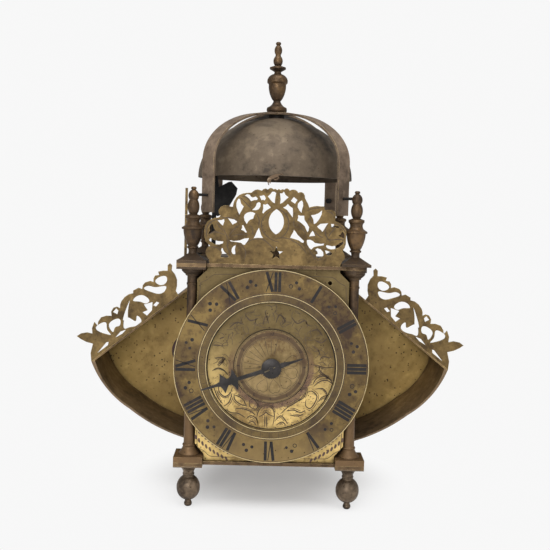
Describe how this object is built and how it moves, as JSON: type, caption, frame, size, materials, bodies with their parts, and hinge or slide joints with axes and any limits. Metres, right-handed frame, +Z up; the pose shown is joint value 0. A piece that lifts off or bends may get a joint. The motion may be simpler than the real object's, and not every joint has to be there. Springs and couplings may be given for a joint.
{
  "type": "lantern clock",
  "caption": "Brass winged lantern clock with a bell under a strap cage, a single hand, pierced frets, hinged side doors with wings and an anchor pendulum.",
  "frame": {"origin": "centre of the clock on the surface that its feet stand on", "axes": "+Z up; +Y to the back, so the dial faces -Y; +X to the right as seen from the front"},
  "size_m": [0.3496, 0.1772, 0.4094],
  "materials": {
    "dial_brass": "polished, lacquered yellow brass",
    "ring_brass": "dull worn brass",
    "fret_brass": "matte cast brass",
    "wing_brass": "pitted and spotted sheet brass",
    "case_brass": "aged sheet brass",
    "turned_brass": "brown patinated turned brass",
    "alarm_brass": "reddish brown patinated brass",
    "bell_metal": "dull speckled bell bronze",
    "strap_brass": "brown patinated strip",
    "wheel_brass": "cut and filed brass",
    "blued_steel": "blue-black steel",
    "black_iron": "forged black iron",
    "arbor_steel": "filed iron bars and steel arbors",
    "bob_iron": "dark red-brown bob"
  },
  "bodies": {
    "frame": {"bottom_plate": "case_brass", "top_plate": "case_brass", "plate_knob": "black_iron", "dial_plate": "dial_brass", "chapter_ring": "ring_brass", "front_fret": "fret_brass", "side_fret": "fret_brass", "fret_screws": "black_iron", "back_plate": "case_brass", "bell": "bell_metal", "bell_strap": "strap_brass", "strap_pins": "black_iron", "bell_finial": "turned_brass", "bell_nuts": "black_iron", "front_bar": "case_brass", "going_back_bar": "case_brass", "strike_front_bar": "case_brass", "strike_back_bar": "case_brass", "crown_potences": "case_brass", "verge_cocks": "case_brass", "hammer_springs": "black_iron", "pillar_front_left": "turned_brass", "foot_front_left": "turned_brass", "finial_front_left": "turned_brass", "pillar_front_right": "turned_brass", "foot_front_right": "turned_brass", "finial_front_right": "turned_brass", "pillar_back_left": "turned_brass", "foot_back_left": "turned_brass", "finial_back_left": "turned_brass", "pillar_back_right": "turned_brass", "foot_back_right": "turned_brass", "finial_back_right": "turned_brass"},
    "left_door": {"left_door": "case_brass", "left_wing_back": "wing_brass", "left_wing_top": "wing_brass", "left_wing_rim": "wing_brass", "left_wing_fret": "fret_brass"},
    "right_door": {"right_door": "case_brass", "right_wing_back": "wing_brass", "right_wing_top": "wing_brass", "right_wing_rim": "wing_brass", "right_wing_fret": "fret_brass"},
    "going_great": {"going_great_wheel": "wheel_brass"},
    "going_second": {"going_second_wheel": "wheel_brass"},
    "contrate": {"contrate_wheel": "wheel_brass"},
    "crown": {"crown_wheel": "wheel_brass"},
    "hand": {"dial_wheel": "wheel_brass", "hour_hand": "blued_steel", "hand_pin": "arbor_steel"},
    "alarm": {"alarm_disc": "alarm_brass"},
    "pendulum": {"verge": "arbor_steel", "anchor_pendulum": "bob_iron"},
    "strike_great": {"strike_great_wheel": "wheel_brass"},
    "hoop": {"hoop_wheel": "wheel_brass"},
    "warning": {"warning_wheel": "wheel_brass"},
    "fly": {"fly": "wheel_brass"},
    "count": {"count_wheel": "wheel_brass"},
    "hammer": {"hammer": "black_iron"},
    "lifting": {"lifting_piece": "black_iron"}
  },
  "joints": [
    {"name": "left_door_hinge", "type": "hinge", "parent": "frame", "child": "left_door", "pos_m": [-0.07, 0.056, 0.124], "axis": [0, 0, -1], "range_deg": [0, 100]},
    {"name": "right_door_hinge", "type": "hinge", "parent": "frame", "child": "right_door", "pos_m": [0.07, 0.056, 0.124], "axis": [0, 0, 1], "range_deg": [0, 100]},
    {"name": "going_great_turn", "type": "hinge", "parent": "frame", "child": "going_great", "pos_m": [0, -0.038, 0.0827], "axis": [0, -1, 0], "continuous": true},
    {"name": "going_second_turn", "type": "hinge", "parent": "frame", "child": "going_second", "pos_m": [0, -0.038, 0.11735], "axis": [0, 1, 0], "continuous": true},
    {"name": "contrate_turn", "type": "hinge", "parent": "frame", "child": "contrate", "pos_m": [0, -0.038, 0.14165], "axis": [0, -1, 0], "continuous": true},
    {"name": "crown_turn", "type": "hinge", "parent": "frame", "child": "crown", "pos_m": [0, -0.036, 0.185], "axis": [0, 0, -1], "continuous": true},
    {"name": "hand_turn", "type": "hinge", "parent": "frame", "child": "hand", "pos_m": [0, -0.075, 0.1237], "axis": [0, 1, 0], "continuous": true},
    {"name": "alarm_turn", "type": "hinge", "parent": "hand", "child": "alarm", "pos_m": [0, -0.076, 0.1237], "axis": [0, 1, 0], "continuous": true},
    {"name": "pendulum_swing", "type": "hinge", "parent": "frame", "child": "pendulum", "pos_m": [0, -0.02, 0.217], "axis": [0, 1, 0], "range_deg": [-12, 12]},
    {"name": "strike_great_turn", "type": "hinge", "parent": "frame", "child": "strike_great", "pos_m": [0, 0.036, 0.0827], "axis": [0, -1, 0], "continuous": true},
    {"name": "hoop_turn", "type": "hinge", "parent": "frame", "child": "hoop", "pos_m": [0, 0.036, 0.1178], "axis": [0, 1, 0], "continuous": true},
    {"name": "warning_turn", "type": "hinge", "parent": "frame", "child": "warning", "pos_m": [0, 0.036, 0.1418], "axis": [0, -1, 0], "continuous": true},
    {"name": "fly_turn", "type": "hinge", "parent": "frame", "child": "fly", "pos_m": [0, 0.036, 0.1634], "axis": [0, 1, 0], "continuous": true},
    {"name": "count_turn", "type": "hinge", "parent": "frame", "child": "count", "pos_m": [0, 0.063, 0.1127], "axis": [0, 1, 0], "continuous": true},
    {"name": "hammer_lift", "type": "hinge", "parent": "frame", "child": "hammer", "pos_m": [-0.057, 0.036, 0.11], "axis": [0, 1, 0], "range_deg": [-0.8, 6], "stiffness_Nm_per_rad": 1, "springref_deg": -0.19},
    {"name": "lifting_turn", "type": "hinge", "parent": "frame", "child": "lifting", "pos_m": [0.048, 0, 0.16], "axis": [0, 1, 0], "range_deg": [0, 10]}
  ],
  "couplings": [
    {"joint": "going_second_turn", "follows": "going_great_turn", "ratio": 8},
    {"joint": "contrate_turn", "follows": "going_great_turn", "ratio": 64},
    {"joint": "crown_turn", "follows": "going_great_turn", "ratio": 384},
    {"joint": "hand_turn", "follows": "going_great_turn", "ratio": 0.083333},
    {"joint": "hoop_turn", "follows": "strike_great_turn", "ratio": 12},
    {"joint": "warning_turn", "follows": "strike_great_turn", "ratio": 108},
    {"joint": "fly_turn", "follows": "strike_great_turn", "ratio": 864},
    {"joint": "count_turn", "follows": "strike_great_turn", "ratio": 0.15385}
  ]
}
